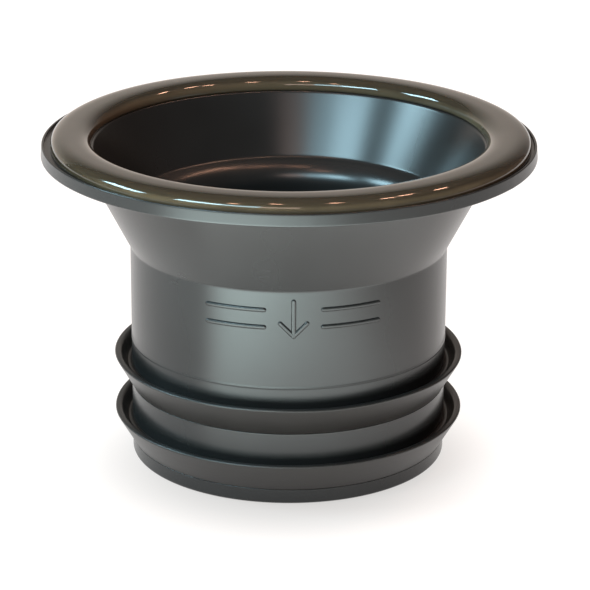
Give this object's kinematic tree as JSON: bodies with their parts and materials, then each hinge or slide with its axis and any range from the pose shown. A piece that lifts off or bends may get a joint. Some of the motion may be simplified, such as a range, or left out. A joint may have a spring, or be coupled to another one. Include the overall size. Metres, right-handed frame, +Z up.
{
  "type": "toilet flange seal",
  "caption": "Wax-free toilet seal: a flanged funnel with a tacky ring on its flange and flared fins on its sleeve that seal inside a drain.",
  "frame": {"origin": "centre of the sleeve's lower end, on the face that the seal stands on", "axes": "+Z up along the funnel's axis, towards the toilet"},
  "size_m": [0.1466, 0.1466, 0.0998],
  "materials": {
    "funnel": "satin moulded flexible PVC",
    "ring": "glossy tacky sealing compound",
    "upper_fin": "matt flexible PVC",
    "lower_fin": "matt flexible PVC"
  },
  "bodies": {
    "root": {"funnel_body": "funnel", "sealing_ring": "ring", "upper_fin": "upper_fin", "lower_fin": "lower_fin"}
  },
  "joints": []
}
